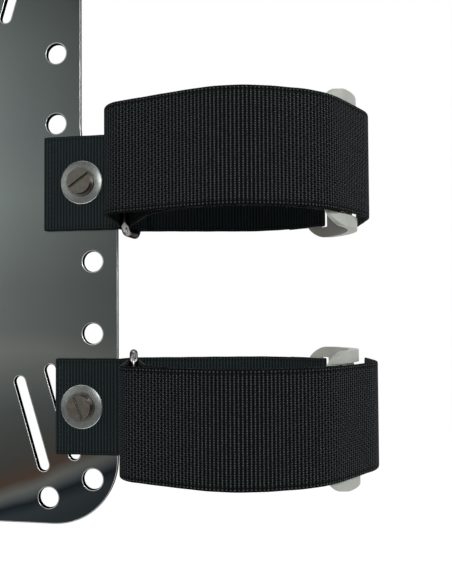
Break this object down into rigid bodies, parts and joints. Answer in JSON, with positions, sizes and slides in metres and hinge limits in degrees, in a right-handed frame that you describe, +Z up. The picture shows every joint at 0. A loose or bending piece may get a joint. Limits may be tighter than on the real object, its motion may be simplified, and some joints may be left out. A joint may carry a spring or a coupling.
{
  "type": "gas cylinder bracket",
  "caption": "Folded steel back plate that holds a small gas cylinder beside its edge in wide webbing straps with wire rings, moulded buckles, eyelets and slotted screws",
  "frame": {"origin": "on the axis of the held gas cylinder, midway between the two straps", "axes": "X to the right away from the plate, Y away from the viewer, Z up along the cylinder's axis"},
  "size_m": [0.4049, 0.118, 0.3941],
  "materials": {
    "plate_steel": "dark polished stainless steel sheet with deburred edges",
    "webbing": "black ribbed nylon webbing",
    "hook_and_loop": "black hook and loop tape",
    "ring_wire": "polished stainless wire",
    "buckle_plastic": "light grey moulded plastic",
    "eyelet_steel": "satin stainless steel",
    "screw_steel": "dark nickel-grey turned steel"
  },
  "bodies": {
    "root": {"back_plate": "plate_steel", "upper_strap": "webbing", "lower_strap": "webbing", "upper_anchor_web": "webbing", "lower_anchor_web": "webbing", "upper_loop_patch": "hook_and_loop", "lower_loop_patch": "hook_and_loop", "upper_hook_patch": "hook_and_loop", "lower_hook_patch": "hook_and_loop", "upper_wire_ring": "ring_wire", "lower_wire_ring": "ring_wire", "upper_buckle": "buckle_plastic", "lower_buckle": "buckle_plastic", "upper_eyelet": "eyelet_steel", "lower_eyelet": "eyelet_steel", "upper_eyelet_washer": "eyelet_steel", "lower_eyelet_washer": "eyelet_steel", "upper_screw": "screw_steel", "lower_screw": "screw_steel", "upper_plate_washer": "eyelet_steel", "lower_plate_washer": "eyelet_steel", "upper_barrel_nut": "screw_steel", "lower_barrel_nut": "screw_steel"}
  },
  "joints": []
}
